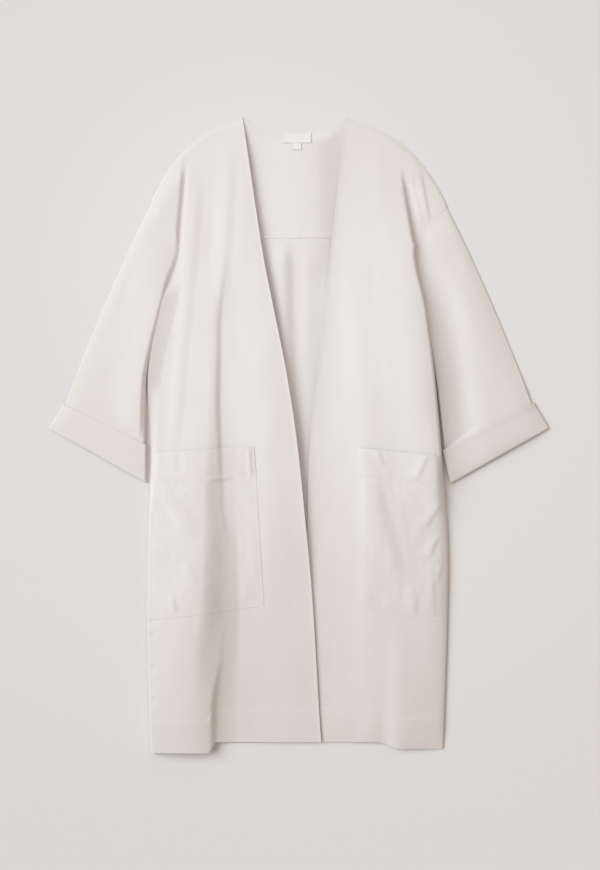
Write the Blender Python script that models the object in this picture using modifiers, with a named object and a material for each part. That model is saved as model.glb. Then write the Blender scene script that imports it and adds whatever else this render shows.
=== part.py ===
"""Collarless open-front overcoat, laid flat and face up.

Metres, +Z up. X runs across the coat, Y runs up towards the neck, and the
underside rests at Z = 0. The tables below are in millimetres: x is measured
from the centre line, and drop is measured down from the neck points. Right
and left are the wearer's, so the right front lies at -X.
"""

import math
from typing import Callable, NamedTuple

import bmesh
import bpy
from mathutils import Vector

MM = 0.001

# Driving sizes of the whole coat, in millimetres
COAT_LENGTH = 1058.0
WALL = 1.5
SEAM_GAP = 0.3
SEAT = WALL + SEAM_GAP
CLEARANCE = 0.5
ARMHOLE_GAP = 2.0
BACK_INSET = 2.0
BACK_HEM_DROP = 1036.0

# Yoke and back neck
YOKE_ROW = 0.8
NECK_DIP = 23.0
YOKE_INSET = 1.0

# Sleeves and their turned-back cuffs
SLEEVE_BULGE_ARMHOLE = 0.8
SLEEVE_BULGE = 8.0
SLEEVE_FILL = 0.6
SLEEVE_END = 0.985
UNDERARM_ROWS = 2.9
UNDERARM_GAP = 5.0
UNDERARM_BLEND = 0.3
CUFF_SHARE = 0.88
CUFF_OVERHANG = 0.035
UNDER_RAMP_START = 0.66
UNDER_RAMP_END = 0.84

# Patch pockets, label and size tab
POCKET_TOP_ROW = 4.0
POCKET_BOTTOM_ROW = 6.0
LABEL_WIDTH = 48.0
LABEL_HEIGHT = 18.0
LABEL_CENTRE_X = -4.0
LABEL_DROP = 26.0
TAB_WIDTH = 15.0
TAB_HEIGHT = 11.0
LABEL_WALL = 1.0

# How soon folds fade out at their ends, and how soon a front lifts off its edges
FOLD_FADE = 130.0
SHOULDER_ROWS = 0.35
INNER_SHARE = 0.6
INNER_BLEND = 0.25
STEP_BLEND = 0.1

# The shoulder line rises from the armhole, is fullest nearer to it, and runs down to the neck
BOW_RISE = 0.85
BOW_FALL = 1.3
BOW_SCALE = 4.23

CLOTH_COLOUR = (0.74, 0.68, 0.63, 1.0)
LABEL_COLOUR = (0.86, 0.86, 0.85, 1.0)
CLOTH_ROUGHNESS = 0.9


class Section(NamedTuple):
    """One row across a front, from its outer edge to its front edge."""

    outer_x: float
    outer_drop: float
    inner_x: float
    inner_drop: float
    bow: float
    turn: float
    lip: float
    outer_z: float
    body_z: float
    inner_z: float


class Fold(NamedTuple):
    """A soft ridge: its crest line, height and the width of each flank."""

    x_top: float
    drop_top: float
    x_bottom: float
    drop_bottom: float
    height: float
    left: float
    right: float


class Front(NamedTuple):
    """One front panel, with the sleeve and the pocket that go with it."""

    side: str
    sections: tuple[Section, ...]
    folds: tuple[Fold, ...]
    pocket_share: float
    step_share: float
    cuff_outer: tuple[float, float]
    cuff_inner: tuple[float, float]
    end_outer: tuple[float, float]
    end_inner: tuple[float, float]


# Rows: shoulder, armhole, chest, ribs, pocket top, hip, pocket bottom, hem stitch, hem
RIGHT_SECTIONS = (
    Section(-248, 147, -94, 0, 38, 0, 60, SEAT, 3.0, 3.0),
    Section(-200, 213, -55, 213, 6, 0, 10, 2.2, 6.5, 6.5),
    Section(-229, 313, -39, 305, 0, 0, 18, 2.2, 7.5, 7.0),
    Section(-251, 430, -15, 425, 0, 0, 20, 2.2, 7.5, 7.0),
    Section(-247, 560, -1, 543, 0, 0, 8, 2.2, 7.0, 7.0),
    Section(-251, 705, 15, 688, 0, 0, 16, SEAT, 7.0, 6.5),
    Section(-252, 838, 24, 805, 0, 0, 18, SEAT, 7.0, 6.5),
    Section(-248, 1008, 35, 988, 0, 1, 18, SEAT, 7.0, 6.5),
    Section(-245, 1058, 37, 1041, 0, 1, 18, SEAT, 7.0, 6.5),
)
LEFT_SECTIONS = (
    Section(247, 150, 77, 0, 38, 0, 60, SEAT, 3.0, 3.0),
    Section(195, 213, 54, 213, 6, 0, 10, 2.6, 6.5, 6.5),
    Section(213, 322, 44, 305, 0, 0, 12, 5.0, 8.5, 6.0),
    Section(228, 430, 32, 422, 0, 0, 12, 5.5, 8.5, 5.0),
    Section(238, 565, 18, 543, 0, 0, 12, 4.0, 8.0, 3.5),
    Section(248, 713, 14, 688, 0, 0, 20, SEAT, 7.0, 2.2),
    Section(247, 843, 12, 800, 0, 0, 22, SEAT, 7.0, 2.2),
    Section(242, 1002, 10, 988, 0, 1, 22, SEAT, 7.0, 2.2),
    Section(240, 1052, 10, 1041, 0, 1, 22, SEAT, 7.0, 2.2),
)

# Folds whose lower end lies past the hem run out through it
RIGHT_FOLDS = (
    Fold(-157, 222, -146, 1300, 12, 85, 45),
    Fold(-200, 120, -168, 420, 2, 25, 25),
)
LEFT_FOLDS = (
    Fold(85, 200, 120, 900, 2.5, 35, 35),
    Fold(150, 780, 160, 1300, 4, 35, 35),
)
BACK_FOLDS = (
    Fold(-34, 215, -24, 560, 2.0, 18, 14),
    Fold(18, 215, 8, 560, 1.6, 16, 16),
)

RIGHT_FRONT = Front(
    side="right",
    sections=RIGHT_SECTIONS,
    folds=RIGHT_FOLDS,
    pocket_share=0.705,
    step_share=0.40,
    cuff_outer=(-390, 480),
    cuff_inner=(-256.5, 545),
    end_outer=(-411, 520),
    end_inner=(-257, 600),
)
LEFT_FRONT = Front(
    side="left",
    sections=LEFT_SECTIONS,
    folds=LEFT_FOLDS,
    pocket_share=0.645,
    step_share=0.43,
    cuff_outer=(388, 478),
    cuff_inner=(245.5, 554),
    end_outer=(411, 519),
    end_inner=(260.5, 605),
)
FRONTS = (RIGHT_FRONT, LEFT_FRONT)

# Steps along the rows between one section and the next, and columns across a front
ROW_STEPS = (5, 4, 4, 4, 4, 4, 5, 2)
POCKET_COLUMNS = (0.0, 0.04, 0.1, 0.2, 0.31, 0.42, 0.52, 0.62, 0.72, 0.81, 0.9, 1.0)
EDGE_COLUMNS = (0.33, 0.67, 1.0)


def clamp(value: float) -> float:
    """Return the value held between 0 and 1."""
    return min(1.0, max(0.0, value))


def smooth(value: float) -> float:
    """Return an S-curve from 0 to 1 over the unit interval."""
    held = clamp(value)
    return held * held * (3.0 - 2.0 * held)


def mix(start: float, end: float, share: float) -> float:
    """Return the value a share of the way from start to end."""
    return start + (end - start) * share


def place(x: float, drop: float, z: float) -> Vector:
    """Turn table millimetres into a point of the laid coat, in metres."""
    return Vector((x, COAT_LENGTH / 2 - drop, z)) * MM


def curve_through(values: list[float], at: float) -> float:
    """Return a smooth curve through evenly spaced values, at a row number."""
    last = len(values) - 1
    index = min(last - 1, max(0, math.floor(at)))
    share = at - index
    before = values[max(0, index - 1)]
    start = values[index]
    end = values[index + 1]
    after = values[min(last, index + 2)]
    rise_in = (end - before) / 2
    rise_out = (after - start) / 2
    cube = 2 * start - 2 * end + rise_in + rise_out
    square = 3 * end - 3 * start - 2 * rise_in - rise_out
    return ((cube * share + square) * share + rise_in) * share + start


def section_at(front: Front, row: float) -> Section:
    """Return a front's section at a row number: curved in plan, straight in height."""
    index = min(len(front.sections) - 2, max(0, math.floor(row)))
    share = clamp(row - index)
    straight = [mix(a, b, share) for a, b in zip(front.sections[index], front.sections[index + 1])]
    plan = [curve_through([section[k] for section in front.sections], row) for k in range(4)]
    return Section(*plan, *straight[4:])


def fold_height(folds: tuple[Fold, ...], x: float, drop: float) -> float:
    """Return the height that a panel's folds add at a point."""
    total = 0.0
    for fold in folds:
        run = (drop - fold.drop_top) / (fold.drop_bottom - fold.drop_top)
        offset = x - mix(fold.x_top, fold.x_bottom, run)
        flank = fold.left if offset < 0 else fold.right
        across = 0.5 + 0.5 * math.cos(math.pi * min(1.0, abs(offset) / flank))
        fade = smooth((drop - fold.drop_top) / FOLD_FADE) * smooth((fold.drop_bottom - drop) / FOLD_FADE)
        total += fold.height * across * fade
    return total


def front_point(front: Front, row: float, share: float, lift: float = 0.0) -> Vector:
    """Return a point of a front's lower side, by row and by share from its outer edge."""
    section = section_at(front, row)
    step = smooth((share - front.step_share) / STEP_BLEND + 0.5)
    down = mix(share, step, section.turn)
    x = mix(section.outer_x, section.inner_x, share)
    drop = mix(section.outer_drop, section.inner_drop, down)
    drop -= section.bow * BOW_SCALE * share ** BOW_RISE * (1 - share) ** BOW_FALL
    from_edge = abs(x - section.outer_x)
    rise = smooth(from_edge / section.lip)
    height = mix(section.body_z, section.inner_z, smooth((share - INNER_SHARE) / INNER_BLEND))
    height += fold_height(front.folds, x, drop)
    z = mix(section.outer_z, height, rise)
    seated = smooth(row / SHOULDER_ROWS)
    return place(x, drop, mix(SEAT, z, seated) + lift)


def outer_edge(front: Front, row: float, outward: float) -> tuple[float, float]:
    """Return a point beside a front's outer edge: x and drop, a distance outward."""
    section = section_at(front, row)
    ahead = section_at(front, row + 0.02)
    along = Vector((ahead.outer_x - section.outer_x, ahead.outer_drop - section.outer_drop)).normalized()
    turn = -1.0 if section.outer_x > 0 else 1.0
    return (section.outer_x - turn * along.y * outward, section.outer_drop + turn * along.x * outward)


def sleeve_plan(front: Front, along: float, across: float) -> tuple[float, float]:
    """Return x and drop of a sleeve: along from armhole to end, across from top fold to underarm."""
    armhole_top = outer_edge(front, 0.0, ARMHOLE_GAP)
    armhole_low = outer_edge(front, 1.0, ARMHOLE_GAP)
    armhole = outer_edge(front, clamp(across), ARMHOLE_GAP)
    upper = clamp(along / CUFF_SHARE)
    lower = clamp((along - CUFF_SHARE) / (1 - CUFF_SHARE))
    row = 1.0 + UNDERARM_ROWS * upper
    beside = outer_edge(front, row, mix(ARMHOLE_GAP, UNDERARM_GAP, upper))
    result = []
    for k in (0, 1):
        top = mix(mix(armhole_top[k], front.cuff_outer[k], upper), front.end_outer[k], lower)
        under = mix(mix(beside[k], front.cuff_inner[k], smooth((upper - 1.0) / UNDERARM_BLEND + 1.0)), front.end_inner[k], lower)
        end = mix(front.end_outer[k], front.end_inner[k], across)
        corners = mix(
            mix(armhole_top[k], armhole_low[k], across),
            mix(front.end_outer[k], front.end_inner[k], across),
            along,
        )
        result.append(mix(top, under, across) + mix(armhole[k], end, along) - corners)
    return (result[0], result[1])


def under_height(along: float) -> float:
    """Return the height of a sleeve's under layer, which climbs onto the cuff."""
    return SEAT * smooth((along - UNDER_RAMP_START) / (UNDER_RAMP_END - UNDER_RAMP_START))


def sleeve_height(along: float, across: float) -> float:
    """Return the height of a sleeve's upper layer above the ground."""
    bulge = mix(SLEEVE_BULGE_ARMHOLE, SLEEVE_BULGE, smooth(along / SLEEVE_FILL))
    held = clamp(across)
    return under_height(along) + SEAT + bulge * 4 * held * (1 - held)


def cuff_height(along: float, across: float) -> float:
    """Return the height of a cuff's upper layer, closed down at both ends."""
    beyond = max(-across, across - 1.0, 0.0) / CUFF_OVERHANG
    over_sleeve = sleeve_height(along, across) + SEAT + CLEARANCE
    return mix(over_sleeve, SEAT, clamp(beyond))


def steps_between(marks: list[float], counts: tuple[int, ...]) -> list[float]:
    """Return the marks with even steps between each one and the next."""
    stations = [marks[0]]
    for start, end, count in zip(marks, marks[1:], counts):
        stations += [mix(start, end, (step + 1) / count) for step in range(count)]
    return stations


def evenly(start: float, end: float, count: int) -> list[float]:
    """Return count + 1 stations from start to end."""
    return steps_between([start, end], (count,))


def cloth_material(name: str, colour: tuple[float, float, float, float]) -> bpy.types.Material:
    """Return a plain matt material."""
    material = bpy.data.materials.new(name)
    material.use_nodes = True
    shader = material.node_tree.nodes["Principled BSDF"]
    shader.inputs["Base Color"].default_value = colour
    shader.inputs["Roughness"].default_value = CLOTH_ROUGHNESS
    shader.inputs["Metallic"].default_value = 0.0
    return material


def panel(
    name: str,
    columns: list[float],
    rows: list[float],
    point: Callable[[float, float], Vector],
    wall: float = WALL,
    colour: tuple[float, float, float, float] = CLOTH_COLOUR,
) -> bpy.types.Object:
    """Make one cloth piece: a grid laid on its form, thickened upward to a wall."""
    mesh = bpy.data.meshes.new(name)
    sheet = bmesh.new()
    across = len(columns) - 1
    down = len(rows) - 1
    bmesh.ops.create_grid(sheet, x_segments=across, y_segments=down, size=0.5)
    for vert in sheet.verts:
        column = columns[round((vert.co.x + 0.5) * across)]
        row = rows[round((0.5 - vert.co.y) * down)]
        vert.co = point(column, row)
    sheet.normal_update()
    if sum(face.normal.z for face in sheet.faces) < 0:
        bmesh.ops.reverse_faces(sheet, faces=sheet.faces[:])
    sheet.to_mesh(mesh)
    sheet.free()
    piece = bpy.data.objects.new(name, mesh)
    mesh.materials.append(cloth_material(name + "_cloth", colour))
    COAT.objects.link(piece)
    thicken = piece.modifiers.new("wall", "SOLIDIFY")
    thicken.thickness = wall * MM
    thicken.offset = 1.0
    thicken.use_even_offset = True
    return piece


def front_columns(front: Front) -> list[float]:
    """Return the shares across a front, with one on its pocket's inner edge."""
    inner = front.pocket_share
    return [share * inner for share in POCKET_COLUMNS] + [mix(inner, 1.0, share) for share in EDGE_COLUMNS]


def front_rows() -> list[float]:
    """Return the row numbers down a front."""
    marks = [float(number) for number in range(len(ROW_STEPS) + 1)]
    return steps_between(marks, ROW_STEPS)


def make_fronts() -> None:
    """Make the two fronts, which reach from the shoulder to the hem."""
    for front in FRONTS:

        def point(share: float, row: float, front: Front = front) -> Vector:
            return front_point(front, row, share)

        panel("front_" + front.side, front_columns(front), front_rows(), point)


def make_pockets() -> None:
    """Make the patch pockets from the fronts' own points, moved out."""
    lift = SEAT + CLEARANCE
    for front in FRONTS:

        def point(share: float, row: float, front: Front = front) -> Vector:
            return front_point(front, row, share, lift)

        columns = [share for share in front_columns(front)[1:] if share <= front.pocket_share]
        rows = [row for row in front_rows() if POCKET_TOP_ROW <= row <= POCKET_BOTTOM_ROW]
        panel("pocket_" + front.side, columns, rows, point)


def back_point(share: float, row: float) -> Vector:
    """Return a point of the back's underside, between the two side edges."""
    right = outer_edge(RIGHT_FRONT, row, -BACK_INSET)
    left = outer_edge(LEFT_FRONT, row, -BACK_INSET)
    x = mix(right[0], left[0], share)
    drop = min(mix(right[1], left[1], share), BACK_HEM_DROP)
    return place(x, drop, fold_height(BACK_FOLDS, x, drop))


def yoke_point(share: float, depth: float) -> Vector:
    """Return a point of the yoke's underside: share from right to left, depth from top to seam."""
    seam = back_point(share, YOKE_ROW)
    third = share * 3
    if third < 1:
        top = front_point(RIGHT_FRONT, 0.0, third)
    elif third > 2:
        top = front_point(LEFT_FRONT, 0.0, 3 - third)
    else:
        right_neck = front_point(RIGHT_FRONT, 0.0, 1.0)
        left_neck = front_point(LEFT_FRONT, 0.0, 1.0)
        sideways = 2 * (third - 1) - 1
        top = right_neck.lerp(left_neck, third - 1)
        top.y -= NECK_DIP * MM * (1 - abs(sideways) ** 3)
    top.x -= math.copysign(YOKE_INSET * MM, top.x)
    top.y -= YOKE_INSET * MM
    seam.y += SEAM_GAP * MM
    point = top.lerp(seam, depth)
    point.z = 0.0
    return point


def make_back() -> None:
    """Make the yoke and the back below it, both resting on the ground."""
    yoke_shares = evenly(0.0, 1.0, 18)
    panel("back_yoke", yoke_shares, evenly(0.0, 1.0, 5), yoke_point)
    back_shares = steps_between([0.0, 0.32, 0.62, 1.0], (3, 10, 3))
    rows = steps_between([YOKE_ROW, 1.0, 2.0, 3.0, 4.0, 6.0, 7.0, 8.0], (1, 2, 2, 2, 3, 2, 1))
    panel("back", back_shares, rows, back_point)


def make_sleeves() -> None:
    """Make each sleeve as the two layers of a flattened tube, with its turned-back cuff."""
    across = evenly(0.0, 1.0, 10)
    cuff_across = [-CUFF_OVERHANG] + across + [1.0 + CUFF_OVERHANG]
    along = steps_between([0.0, UNDER_RAMP_START, CUFF_SHARE, SLEEVE_END], (6, 4, 2))
    cuff_along = evenly(CUFF_SHARE, 1.0, 2)
    for front in FRONTS:

        def upper(share: float, run: float, front: Front = front) -> Vector:
            return place(*sleeve_plan(front, run, share), sleeve_height(run, share))

        def under(share: float, run: float, front: Front = front) -> Vector:
            return place(*sleeve_plan(front, run, share), under_height(run))

        def cuff_upper(share: float, run: float, front: Front = front) -> Vector:
            return place(*sleeve_plan(front, run, share), cuff_height(run, share))

        def cuff_under(share: float, run: float, front: Front = front) -> Vector:
            return place(*sleeve_plan(front, run, share), 0.0)

        panel(f"sleeve_{front.side}_upper", across, along, upper)
        panel(f"sleeve_{front.side}_under", across, along, under)
        panel(f"cuff_{front.side}_upper", cuff_across, cuff_along, cuff_upper)
        panel(f"cuff_{front.side}_under", cuff_across, cuff_along, cuff_under)


def make_label() -> None:
    """Make the bare woven label at the back neck and the size tab below it."""

    def label(share: float, run: float) -> Vector:
        return place(LABEL_CENTRE_X + share * LABEL_WIDTH, LABEL_DROP + run * LABEL_HEIGHT, SEAT)

    def tab(share: float, run: float) -> Vector:
        top = LABEL_DROP + LABEL_HEIGHT + SEAM_GAP
        return place(LABEL_CENTRE_X + share * TAB_WIDTH, top + run * TAB_HEIGHT, SEAT)

    panel("label", [-0.5, 0.5], [0.0, 1.0], label, LABEL_WALL, LABEL_COLOUR)
    panel("size_tab", [-0.5, 0.5], [0.0, 1.0], tab, LABEL_WALL, LABEL_COLOUR)


def clear_scene() -> None:
    """Remove whatever the scene already holds."""
    for item in list(bpy.data.objects):
        bpy.data.objects.remove(item, do_unlink=True)


clear_scene()
COAT = bpy.data.collections.new("collarless_overcoat")
bpy.context.scene.collection.children.link(COAT)
make_back()
make_fronts()
make_pockets()
make_sleeves()
make_label()
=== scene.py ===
"""Looks of a collarless overcoat laid flat and face up on a pale floor.

The cloth pieces are thin shells laid on the forms of the solids, with the
folds, creases, seams and stitches that the coat shows. Tables are in
millimetres: x is measured across from the coat's middle, and drop is measured
down from the neck points. Right and left are the wearer's.
"""

import logging
import math
from dataclasses import dataclass, field
from enum import Enum
from typing import Callable

import bmesh
import bpy
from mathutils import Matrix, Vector, noise


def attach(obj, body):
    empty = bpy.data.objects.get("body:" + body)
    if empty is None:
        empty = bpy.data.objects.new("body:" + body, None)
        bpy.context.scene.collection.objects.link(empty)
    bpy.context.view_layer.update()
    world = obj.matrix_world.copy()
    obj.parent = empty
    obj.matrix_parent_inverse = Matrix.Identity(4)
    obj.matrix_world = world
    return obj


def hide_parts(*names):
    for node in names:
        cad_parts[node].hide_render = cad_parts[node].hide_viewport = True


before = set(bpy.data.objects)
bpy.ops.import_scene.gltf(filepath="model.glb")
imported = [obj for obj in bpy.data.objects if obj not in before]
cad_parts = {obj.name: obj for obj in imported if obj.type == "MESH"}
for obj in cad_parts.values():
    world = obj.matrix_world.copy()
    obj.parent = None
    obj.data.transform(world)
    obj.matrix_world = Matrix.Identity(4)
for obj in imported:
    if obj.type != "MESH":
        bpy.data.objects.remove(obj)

LOG = logging.getLogger("overcoat")
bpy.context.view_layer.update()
BODY = "root"

MM = 0.001
COAT_LENGTH = 1058.0
CAD_WALL = 1.5
CAD_SEAT = 1.8
SHELL = 1.0
POCKET_SHELL = 0.45
TAPE_SHELL = 0.6
SHOULDER_ROW_MM = 100.0

PointAt = Callable[[float, float], Vector]
Colour = tuple[float, float, float, float]


def clamp(value: float) -> float:
    """Return the value held between 0 and 1."""
    return min(1.0, max(0.0, value))


def smooth(value: float) -> float:
    """Return an S-curve from 0 to 1 over the unit interval."""
    held = clamp(value)
    return held * held * (3.0 - 2.0 * held)


def mix(start: float, end: float, share: float) -> float:
    """Return the value a share of the way from start to end."""
    return start + (end - start) * share


def place(x: float, drop: float, z: float) -> Vector:
    """Turn table millimetres into a point of the laid coat, in metres."""
    return Vector((x, COAT_LENGTH / 2 - drop, z)) * MM


def evenly(start: float, end: float, count: int) -> list[float]:
    """Return count + 1 stations from start to end."""
    return [mix(start, end, step / count) for step in range(count + 1)]


def curve_through(values: list[float], at: float) -> float:
    """Return a smooth curve through evenly spaced values.

    Args:
        values: The values, one for each whole row number.
        at: The row number, which may lie between two rows.

    Returns:
        The curve's value there.
    """
    last = len(values) - 1
    index = min(last - 1, max(0, math.floor(at)))
    share = at - index
    before = values[max(0, index - 1)]
    start = values[index]
    end = values[index + 1]
    after = values[min(last, index + 2)]
    rise_in = (end - before) / 2
    rise_out = (after - start) / 2
    cube = 2 * start - 2 * end + rise_in + rise_out
    square = 3 * end - 3 * start - 2 * rise_in - rise_out
    return ((cube * share + square) * share + rise_in) * share + start


def falling(knots: tuple[tuple[float, float], ...], at: float) -> float:
    """Return a curve that falls through its knots without a flat between them.

    Args:
        knots: Places and heights, from the highest to the lowest.
        at: The place that is asked for, at or past the first knot.

    Returns:
        The height at that place.
    """
    if at >= knots[-1][0]:
        return knots[-1][1]
    falls = [(end[1] - start[1]) / (end[0] - start[0]) for start, end in zip(knots, knots[1:])]
    slopes = [0.0] + [2 * one * two / (one + two) for one, two in zip(falls, falls[1:])] + [0.0]
    index = max(number for number, knot in enumerate(knots[:-1]) if knot[0] <= at)
    start = knots[index]
    end = knots[index + 1]
    length = end[0] - start[0]
    share = (at - start[0]) / length
    back = 1 - share
    held = mix(start[1], end[1], smooth(share))
    return held + length * share * back * (slopes[index] * back - slopes[index + 1] * share)


def undulation(x: float, drop: float, seed: float, height: float) -> float:
    """Return a gentle unevenness of laid cloth, longer down the coat than across it.

    Args:
        x: The place across the coat.
        drop: The place down the coat.
        seed: A number that sets one piece's unevenness apart from another's.
        height: The size of the broad waves, in millimetres.

    Returns:
        The height to add there.
    """
    broad = noise.noise(Vector((x * 0.011, drop * 0.005, seed)))
    fine = noise.noise(Vector((x * 0.034, drop * 0.016, seed + 7.0)))
    return height * (broad + 0.42 * fine)


def new_material(
    name: str, roughness: float, specular: float
) -> tuple[bpy.types.Material, bpy.types.NodeTree, bpy.types.Node]:
    """Start a node material.

    Args:
        name: The material's name.
        roughness: The shader's roughness.
        specular: The shader's level of reflection.

    Returns:
        The material, its node tree and its shader node.
    """
    material = bpy.data.materials.new(name)
    material.use_nodes = True
    tree = material.node_tree
    shader = tree.nodes["Principled BSDF"]
    shader.inputs["Roughness"].default_value = roughness
    shader.inputs["Specular IOR Level"].default_value = specular
    return material, tree, shader


def tint(
    tree: bpy.types.NodeTree,
    shader: bpy.types.Node,
    level: bpy.types.NodeSocket,
    *stops: tuple[float, Colour],
) -> None:
    """Colour a shader by a level, through a ramp.

    Args:
        tree: The material's node tree.
        shader: The shader that takes the colour.
        level: The value that picks a place on the ramp.
        stops: The ramp's two stops, each a place and a colour.
    """
    ramp = tree.nodes.new("ShaderNodeValToRGB")
    for element, (position, colour) in zip(ramp.color_ramp.elements, stops):
        element.position = position
        element.color = colour
    tree.links.new(level, ramp.inputs["Fac"])
    tree.links.new(ramp.outputs["Color"], shader.inputs["Base Color"])


def add_object(name: str, shape: bmesh.types.BMesh, material: bpy.types.Material) -> bpy.types.Object:
    """Put a finished shape into the scene.

    Args:
        name: The object's name.
        shape: The shape, which is used up.
        material: The object's one material.

    Returns:
        The new object.
    """
    mesh = bpy.data.meshes.new(name)
    shape.to_mesh(mesh)
    shape.free()
    mesh.materials.append(material)
    made = bpy.data.objects.new(name, mesh)
    bpy.context.scene.collection.objects.link(made)
    return made


class Side(Enum):
    """The wearer's side that a piece belongs to."""

    RIGHT = "right"
    LEFT = "left"

    @property
    def sign(self) -> float:
        """Return the direction along X in which this side lies."""
        return -1.0 if self is Side.RIGHT else 1.0


class Grain(Enum):
    """How the cloth's warp runs on a piece, in degrees from the coat's length."""

    STRAIGHT = 0.0
    RIGHT_SLEEVE = -24.0
    LEFT_SLEEVE = 24.0
    RIGHT_CUFF = -61.0
    LEFT_CUFF = 61.0


class LipShape(Enum):
    """How a front rises from its outer edge beside the sleeve."""

    STRIP = "strip"
    ROUND = "round"

    def rise(self, share: float) -> float:
        """Return how far the lip has risen.

        Args:
            share: The share of the lip's width, from the outer edge.

        Returns:
            The share of the full height.
        """
        held = clamp(share)
        if self is LipShape.STRIP:
            return mix(held, 1.0, 0.6)
        return (1 - (1 - held) ** 2.4) ** (1 / 2.4)


@dataclass(frozen=True)
class Section:
    """One row across a front, from its outer edge to its front edge."""

    outer_x: float
    outer_drop: float
    inner_x: float
    inner_drop: float
    bow: float
    turn: float
    lip: float
    outer_z: float
    body_z: float
    inner_z: float


PLAN_COLUMNS = ("outer_x", "outer_drop", "inner_x", "inner_drop")


@dataclass(frozen=True)
class Fold:
    """A long soft ridge whose right flank narrows or widens from top to bottom."""

    x_top: float
    drop_top: float
    x_bottom: float
    drop_bottom: float
    height_top: float
    height_bottom: float
    left: float
    right_top: float
    right_bottom: float
    fade: float = 130.0

    def height(self, x: float, drop: float) -> float:
        """Return the height that this fold adds at a point.

        Args:
            x: The place across the coat.
            drop: The place down the coat.

        Returns:
            The height in millimetres, 0 away from the fold.
        """
        run = (drop - self.drop_top) / (self.drop_bottom - self.drop_top)
        if run <= 0.0 or run >= 1.0:
            return 0.0
        offset = x - mix(self.x_top, self.x_bottom, run)
        flank = self.left if offset < 0 else mix(self.right_top, self.right_bottom, run)
        if abs(offset) >= flank:
            return 0.0
        across = 0.5 + 0.5 * math.cos(math.pi * offset / flank)
        ends = smooth((drop - self.drop_top) / self.fade) * smooth((self.drop_bottom - drop) / self.fade)
        return mix(self.height_top, self.height_bottom, run) * across * ends


@dataclass(frozen=True)
class Crease:
    """A short ridge, or a trough where its height is negative, along a straight line."""

    x_start: float
    drop_start: float
    x_end: float
    drop_end: float
    height_mm: float
    width: float
    overrun: float = 0.15
    fade: float = 0.4

    def height(self, x: float, drop: float) -> float:
        """Return the height that this crease adds at a point.

        Args:
            x: The place across the coat.
            drop: The place down the coat.

        Returns:
            The height in millimetres, 0 away from the crease.
        """
        along_x = self.x_end - self.x_start
        along_drop = self.drop_end - self.drop_start
        length = math.hypot(along_x, along_drop)
        run = ((x - self.x_start) * along_x + (drop - self.drop_start) * along_drop) / length ** 2
        if run <= -self.overrun or run >= 1.0 + self.overrun:
            return 0.0
        aside = ((x - self.x_start) * along_drop - (drop - self.drop_start) * along_x) / length
        reach = abs(aside) / self.width
        if reach >= 1.0:
            return 0.0
        across = (1.0 - reach ** 2) ** 2
        ends = smooth((run + self.overrun) / self.fade) * smooth((1.0 + self.overrun - run) / self.fade)
        return self.height_mm * across * ends


@dataclass(frozen=True)
class RollStation:
    """The roll's section at one drop: where it crests, breaks and ends, and how high it is."""

    drop: float
    crest_x: float
    break_x: float
    foot_x: float
    crest_z: float
    above: float
    below: float
    left: float


@dataclass(frozen=True)
class Roll:
    """A big fold that grows towards the hem and breaks over on its right side."""

    stations: tuple[RollStation, ...]
    break_width: float = 10.0

    def height(self, x: float, drop: float) -> float:
        """Return the height that the roll adds at a point.

        Args:
            x: The place across the coat.
            drop: The place down the coat.

        Returns:
            The height in millimetres, 0 away from the roll.
        """
        if drop <= self.stations[0].drop:
            return 0.0
        index = 0
        while index < len(self.stations) - 2 and drop > self.stations[index + 1].drop:
            index += 1
        start = self.stations[index]
        end = self.stations[index + 1]
        share = smooth((drop - start.drop) / (end.drop - start.drop))
        names = ("crest_x", "break_x", "foot_x", "crest_z", "above", "below", "left")
        crest, bend, foot, top, above, below, left = (
            mix(getattr(start, name), getattr(end, name), share) for name in names
        )
        if x <= crest:
            return top * (1 - smooth((crest - x) / left))
        knots = ((crest, 1.0), (bend, above), (bend + self.break_width, below), (foot, 0.0))
        return top * falling(knots, x)


Relief = tuple[Fold | Crease | Roll, ...]


def relief_height(relief: Relief, x: float, drop: float) -> float:
    """Return the height that a piece's folds and creases add at a point."""
    return sum(form.height(x, drop) for form in relief)


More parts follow.
